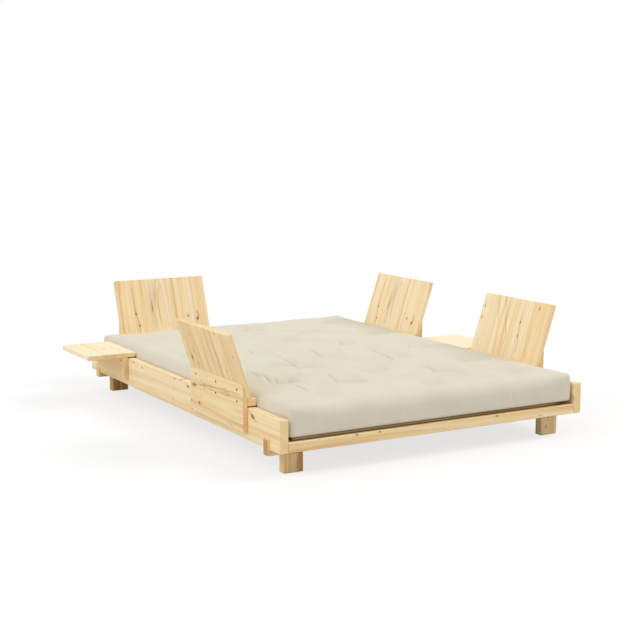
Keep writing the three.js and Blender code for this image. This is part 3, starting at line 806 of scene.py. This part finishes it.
def softNoise(points, scale, seed):
    offset = Vector((seed * 3.1, seed * 1.7, seed * 2.3))
    return np.array([noise.noise(Vector(p) + offset) for p in points * scale])


def sideNoise(points, lower, scale, seed):
    return softNoise(points * [1, 1, lower], scale, seed)


def easeStep(value):
    value = np.clip(value, 0, 1)
    return value * value * (3 - 2 * value)


def hill(*parts):
    # 1 where every part is 0, and falling off on all sides
    return np.exp(-sum(part ** 2 for part in parts))


def rounded(a, b):
    # turns a square corner of the two distances into a round one
    a, b = np.maximum(a, 0), np.maximum(b, 0)
    inside = (a > 0) & (b > 0)
    shrink = np.where(inside, np.maximum(a, b) / np.maximum(np.hypot(a, b), 1e-9), 1)
    return shrink, inside


def futonForm():
    # a fine grid drawn down to a closed block, with rows up its sides and one flat face under its middle
    pickNothing()
    size = futonShape
    low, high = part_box("futon_mattress")
    grow = Vector((size["wider"], -size["shorter"], 0))
    low, high = low - grow, high + grow
    wide, long, top = high.x - low.x, high.y - low.y, low.z + size["thick"]
    bpy.ops.mesh.primitive_grid_add(
        x_subdivisions=round(wide / size["cell"]), y_subdivisions=round(long / size["cell"]), size=1,
        location=((low.x + high.x) / 2, (low.y + high.y) / 2, top),
    )
    pad = bpy.context.object
    pad.name = "futon"
    pad.scale = (wide, long, 1)
    bpy.ops.object.transform_apply(location=True, rotation=True, scale=True)
    bpy.ops.object.mode_set(mode="EDIT")
    bpy.ops.mesh.select_all(action="SELECT")
    bpy.ops.mesh.extrude_region_move(TRANSFORM_OT_translate={"value": (0, 0, -size["thick"])})
    bpy.ops.mesh.select_mode(type="EDGE")
    pickParts("edges", lambda edge: abs(edge.verts[0].co.z - edge.verts[1].co.z) > size["thick"] / 2)
    bpy.ops.mesh.subdivide(number_cuts=size["rows"] - 1)
    bpy.ops.mesh.select_mode(type="FACE")
    inner = Vector((size["band"], size["band"]))
    lowest, highest = low.xy + inner, high.xy - inner

    def underMiddle(face):
        spot = face.calc_center_median()
        return spot.z < low.z + mm and lowest.x < spot.x < highest.x and lowest.y < spot.y < highest.y

    pickParts("faces", underMiddle)
    bpy.ops.mesh.dissolve_faces()
    bpy.ops.mesh.select_all(action="SELECT")
    bpy.ops.mesh.normals_make_consistent(inside=False)
    bpy.ops.object.mode_set(mode="OBJECT")
    return pad, low, high, top


def roundPlan(x, y, halfWide, halfLong):
    # rounds the corners in plan, and finds how far in each point lies and which way its nearest side faces
    corner = futonShape["corner"]
    cornerX, cornerY = np.abs(x) - (halfWide - corner), np.abs(y) - (halfLong - corner)
    shrink, inside = rounded(cornerX, cornerY)
    x = np.where(inside, np.sign(x) * (halfWide - corner + cornerX * shrink), x)
    y = np.where(inside, np.sign(y) * (halfLong - corner + cornerY * shrink), y)
    cornerX, cornerY = np.abs(x) - (halfWide - corner), np.abs(y) - (halfLong - corner)
    reach = np.hypot(np.maximum(cornerX, 0), np.maximum(cornerY, 0))
    toSide, toEnd = halfWide - np.abs(x), halfLong - np.abs(y)
    edge = np.where(inside, corner - reach, np.minimum(toSide, toEnd))
    acrossX = np.where(inside, np.maximum(cornerX, 0), toSide < toEnd)
    acrossY = np.where(inside, np.maximum(cornerY, 0), toSide >= toEnd)
    span = np.maximum(np.hypot(acrossX, acrossY), 1e-9)
    return x, y, edge, np.sign(x) * acrossX / span, np.sign(y) * acrossY / span


def foldDepth(x, y, fold):
    # a sharp valley along a line between two soft lips, fading in from its start; and the painted shade in
    # its crease, stronger as the fold deepens
    size = futonShape
    depth, half, spots = fold[0] * mm, fold[1] * mm, np.array(fold[2]) * mm
    steps = np.diff(spots, axis=0)
    lengths = np.hypot(steps[:, 0], steps[:, 1])
    starts = np.concatenate([[0], np.cumsum(lengths)])
    away, passed = np.full(len(x), np.inf), np.zeros(len(x))
    for spot, step, length, start in zip(spots, steps, lengths, starts):
        t = np.clip(((x - spot[0]) * step[0] + (y - spot[1]) * step[1]) / length ** 2, 0, 1)
        gap = np.hypot(x - spot[0] - step[0] * t, y - spot[1] - step[1] * t)
        passed = np.where(gap < away, start + t * length, passed)
        away = np.minimum(away, gap)
    fade = easeStep(size["foldStart"] + passed / starts[-1] * size["foldGrow"])
    lips = hill((away - half * size["lipOff"]) / size["lipReach"])
    valley = np.exp(-away / half) - lips * size["lipShare"]
    creaseShade = hill(away / (half * size["paintedShadeShare"])) * depth / size["creaseShadeFull"]
    return depth * fade * valley, fade * creaseShade


def topFall(x, y, high):
    # how far the top falls at tufts, folds and hollows, and the painted shade in them
    size = futonShape
    fall, crease = np.zeros(len(x)), np.zeros(len(x))
    for tx, ty, much in tufts:
        dx, dy = x - tx * mm, y - ty * mm
        dx = dx - dy * size["tuftLean"]
        long = np.where(dy < 0, size["tuftNear"], size["tuftFar"])
        fall += size["tuftDeep"] * much * np.exp(-(np.abs(dx / size["tuftWide"]) ** 3) - (dy / long) ** 2)
        # a painted shade on the pit's far slope
        shade = hill(dx / size["pitWide"], (dy - size["pitBeyond"]) / size["pitLong"])
        crease = np.maximum(crease, shade * size["pitShade"] * much)
    fall *= easeStep((high.y - size["farPlain"] - y) / size["farFade"])
    for fold in folds:
        deep, creaseShade = foldDepth(x, y, fold)
        fall += deep * size["foldDeeper"]
        crease = np.maximum(crease, creaseShade)
    for hx, hy, toLeft, toRight, nearer, farther, deep in hollows:
        dx, dy = x / mm - hx, y / mm - hy
        wide, long = np.where(dx < 0, toLeft, toRight), np.where(dy < 0, nearer, farther)
        fall += deep * mm * hill(dx / wide, dy / long)
        # a painted shade in the hollow, towards its far side
        shadeAt, shadeLong = farther * size["hollowShadeAt"], farther * size["hollowShadeLong"]
        shade = hill(dx / wide, (dy - shadeAt) / shadeLong)
        crease = np.maximum(crease, shade * size["pitShade"])
    return fall, crease


def sculptFuton(pad, low, high, top):
    size = futonShape
    points = np.empty(len(pad.data.vertices) * 3)
    pad.data.vertices.foreach_get("co", points)
    points = points.reshape(-1, 3)
    halfWide, halfLong = (high.x - low.x) / 2, (high.y - low.y) / 2
    middleY = (high.y + low.y) / 2
    z = points[:, 2].copy()
    x, y, edge, outX, outY = roundPlan(points[:, 0], points[:, 1] - middleY, halfWide, halfLong)
    # edges rolled round
    toCorner = np.hypot(halfWide - np.abs(x), halfLong - np.abs(y))
    nearCorner = hill(toCorner / size["cornerReach"])
    topRound, bottomRound = size["topRound"] - size["topPinch"] * nearCorner, size["bottomRound"]
    rolls = ((topRound, z - top + topRound, -1), (bottomRound, low.z + bottomRound - z, 1))
    for roll, fromEdge, way in rolls:
        shrink, rolled = rounded(roll - edge, fromEdge)
        inward = np.where(rolled, (roll - edge) * (1 - shrink), 0)
        x, y = x - outX * inward, y - outY * inward
        z = z + way * np.where(rolled, fromEdge * (1 - shrink), 0)
        edge = edge + inward
    # the top: its crown, what its tufts and folds pull down, and slow waves
    onTop = easeStep((z - (top - topRound)) / (topRound * size["topShare"]))
    wholeX, wholeY = np.clip(1 - (x / halfWide) ** 4, 0, 1), np.clip(1 - (y / halfLong) ** 6, 0, 1)
    y = y + middleY
    rise = size["crown"] * np.sqrt(wholeX * wholeY)
    fall, crease = topFall(x, y, high)
    peak = size["peak"] * hill(
        (x - size["peakX"]) / size["peakReach"], (y - high.y + size["peakIn"]) / size["peakReach"])
    waves = sum(softNoise(points, scale, seed) * height for scale, seed, height in size["waves"])
    z += onTop * (rise - fall + waves + peak)
    # the sides: slightly slack, with fine upright puckers that fade towards the top
    depth = np.clip((z - low.z) / size["thick"], 0, 1)
    patches = easeStep(sideNoise(points, *size["patchNoise"]) * size["patchGain"] + size["patchLeast"])
    puckers = sideNoise(points, *size["puckerNoise"]) * size["pucker"]
    puckers += sideNoise(points, *size["fineNoise"]) * size["finePucker"]
    slack = sideNoise(points, *size["slackNoise"]) * size["slack"]
    puckers = puckers * patches * np.sin(depth * math.pi) ** 0.5
    push = (1 - onTop) * (puckers + slack * size["slackShare"] - size["sideIn"])
    near = np.clip(1 - edge / size["sideReach"], 0, 1)
    x, y = x + outX * push * near, y + outY * push * near
    # the front's lower edge stands a little off the rail and is tucked under, so that its fullest part is
    # above its middle, and the front is narrower, so that dark gaps show beside it
    curl = easeStep((low.y + size["slotDeep"] - y) / size["slotClose"])
    curl *= easeStep((size["curlHigh"] - depth) / size["curlHigh"])
    z += (size["frontLift"] + size["liftSlack"] * slack) * curl
    tuck = np.clip(1 - depth / size["tuckHigh"], 0, 1) ** 2
    facesFront = outY < -0.5
    y += size["frontTuck"] * tuck * near * facesFront
    narrowed = easeStep((low.y + size["narrowReach"] - y) / size["narrowFade"])
    x *= 1 - size["frontNarrow"] / halfWide * narrowed
    x, y = np.clip(x, low.x, high.x), np.clip(y, low.y, high.y)
    pad.data.vertices.foreach_set("co", np.stack([x, y, z], 1).ravel())
    # the painted shade: up to 1 in creases and on the hem, and on to 2 deep in the slot under the front
    hemPaintedShade = easeStep((low.z + size["hemHigh"] - z) / size["hemHigh"]) * size["hemShade"]
    shades = np.clip(np.maximum(crease * onTop, hemPaintedShade), 0, 1)
    slotBack = easeStep((low.y + size["slotShadeDeep"] - y) / size["slotClose"])
    slot = easeStep((low.z + size["slotHigh"] - z) / size["slotEdge"]) * slotBack
    shades = np.maximum(shades, slot * 2)
    pad.data.attributes.new("crease", "FLOAT", "POINT").data.foreach_set("value", shades)
    pad.data.update()


futon, futonLow, futonHigh, futonTop = futonForm()
sculptFuton(futon, futonLow, futonHigh, futonTop)
applyModifier(futon, "SMOOTH", factor=0.5, iterations=1)
bpy.ops.object.shade_smooth()
print("stage: futon shaped,", len(futon.data.vertices), "points")

# Cotton twill. Scales are how often a pattern repeats in a metre, and a slub's along and across its thread.
# A noise is its detail, its roughness and, where it has one, its scale.
cottonLook = {
    "cloth": (228, 221, 203), "shade": (220, 212, 193), "shadeShare": 0.5, "shadeNoise": (3.0, 0.55, 6.0),
    "shadeRange": (0.3, 0.7), "shadeSmooth": 0.05,
    "fleck": (203, 192, 168), "fleckShare": 0.22, "fleckShareAcross": 0.18, "fleckRange": (0.6, 0.75),
    "slubScale": (26, 900), "slubNoise": (2.0, 0.6), "slubRelief": 0.7,
    "ribScale": 700, "ribJitter": 0.8, "ribRelief": 0.6,
    # the colour and share of the painted shade in creases, pits and hollows and on the hem, and the darker
    # painted shade deep in the slot under the front
    "crease": (168, 158, 138), "paintedShadeShare": 0.56, "slot": (98, 84, 64),
    "roughness": 0.92, "bump": (0.35, 0.0004),
}


def cottonPaint():
    look = cottonLook
    paint = Paint("natural_cotton", Specular_IOR_Level=0.2, Sheen_Weight=0.12, Sheen_Roughness=0.5)
    spot = paint.place()
    x, y, z = paint.parts(spot)
    slow = paint.grainNoise(spot, *look["shadeNoise"])
    often, close = look["slubScale"]
    slub = paint.grainNoise(paint.vector(x * often, y * close, z * close), *look["slubNoise"])
    slubAcross = paint.grainNoise(paint.vector(x * close, y * often, z * often), *look["slubNoise"])
    # slanting ribs about a millimetre apart, broken by the threads
    slant = x * look["ribScale"] + y * look["ribScale"] + z * look["ribScale"]
    ribs = ((slant + slub * look["ribJitter"]).fraction() - 0.5).size() * 2
    shaded = slow.between(*look["shadeRange"]) * look["shadeShare"]
    colour = paint.blend(shaded, screenColour(*look["cloth"]), screenColour(*look["shade"]))
    for threads, share in ((slub, look["fleckShare"]), (slubAcross, look["fleckShareAcross"])):
        flecked = threads.between(*look["fleckRange"]) * share
        colour = paint.blend(flecked, colour, screenColour(*look["fleck"]))
    # painted shade read from the pad: up to 1 it goes towards the shade colour, and from 1 to 2 on to the
    # dark slot colour
    crease = paint.node("ShaderNodeAttribute", {"attribute_name": "crease"}, output="Fac")
    colour = paint.blend(crease * look["paintedShadeShare"], colour, screenColour(*look["crease"]))
    colour = paint.blend((crease - 1).held(), colour, screenColour(*look["slot"]))
    height = ribs * look["ribRelief"] + slub * look["slubRelief"] + slubAcross * look["slubRelief"]
    rough = look["roughness"] - slow * look["shadeSmooth"]
    paint.coat(Base_Color=colour, Roughness=rough, Normal=paint.bump(height, *look["bump"]))
    return paint.material


futon.data.materials.clear()
futon.data.materials.append(cottonPaint())
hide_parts("futon_mattress")
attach(futon, "futon")

# Floor, light and camera. A lamp's values are its energy, its spread in degrees and where it stands.
studio = {
    "floorColour": (226, 225, 223), "floorSize": 60.0, "floorWhite": 0.74, "ambient": 0.64, "frontDim": 0.56,
    "frontTint": (1.0, 0.965, 0.91, 1.0),
    "lamps": {"right": (1.19, 26, (0.62, -0.35, 0.70)), "left": (0.96, 50, (-0.75, -0.15, 0.64))},
    "cameraPlace": (-3.0642, -5.4074, 1.3713), "cameraTurn": (81.377, 0.0, -29.886), "lens": 74.33,
}
pickNothing()
bpy.ops.mesh.primitive_plane_add(size=studio["floorSize"], location=(0, 0, 0))
floor = bpy.context.object
floor.name = "floor"
floorPaint = Paint("floor_white", Roughness=0.9, Specular_IOR_Level=0.1)
rays = floorPaint.node("ShaderNodeLightPath", output="Is Camera Ray")
floorPaint.coat(Base_Color=floorPaint.blend(rays, screenColour(*studio["floorColour"]), white))
glow = floorPaint.node("ShaderNodeEmission", None, {"Color": white, "Strength": 1.0})
matt = Flow(floorPaint, floorPaint.shader.outputs[0])
inputs = {0: rays * studio["floorWhite"], 1: matt, 2: glow}
mixed = floorPaint.node("ShaderNodeMixShader", None, inputs)
floorPaint.feed(floorPaint.tree.nodes["Material Output"].inputs["Surface"], mixed)
floor.data.materials.append(floorPaint.material)

# Even light from all round, a little less and warmer from the front, and plain white where it is seen
world = bpy.data.worlds.new("studio")
bpy.context.scene.world = world
world.use_nodes = True
sky = Nodes(world.node_tree)
towards = sky.parts(sky.node("ShaderNodeTexCoord"))[1]
front = towards.maths("MULTIPLY", towards, -1.0, use_clamp=True)
ambient = studio["ambient"]
dim = sky.node("ShaderNodeMapRange", None, {0: front, 3: ambient, 4: ambient * (1 - studio["frontDim"])})
cameraRays = sky.node("ShaderNodeLightPath", output="Is Camera Ray")
seen = cameraRays.most(sky.node("ShaderNodeLightPath", output="Is Glossy Ray"))
background = sky.tree.nodes["Background"].inputs
sky.feed(background["Strength"], sky.node("ShaderNodeMapRange", None, {0: seen, 3: dim, 4: 1.0}))
sky.feed(background["Color"], sky.blend(seen, sky.blend(front, white, studio["frontTint"]), white))

for name, (energy, spread, origin) in studio["lamps"].items():
    lamp = bpy.data.lights.new(name, "SUN")
    lamp.energy = energy
    lamp.angle = math.radians(spread)
    lampObject = bpy.data.objects.new(name, lamp)
    lampObject.rotation_euler = Vector(origin).to_track_quat("Z", "Y").to_euler()
    bpy.context.scene.collection.objects.link(lampObject)

camera = bpy.data.cameras.new("camera")
camera.lens = studio["lens"]
camera.sensor_width = 36.0
camera.clip_end = 200.0
cameraObject = bpy.data.objects.new("camera", camera)
cameraObject.location = studio["cameraPlace"]
cameraObject.rotation_euler = [math.radians(a) for a in studio["cameraTurn"]]
bpy.context.scene.collection.objects.link(cameraObject)
bpy.context.scene.camera = cameraObject
bpy.context.scene.view_settings.view_transform = "Standard"
print("stage: studio set")
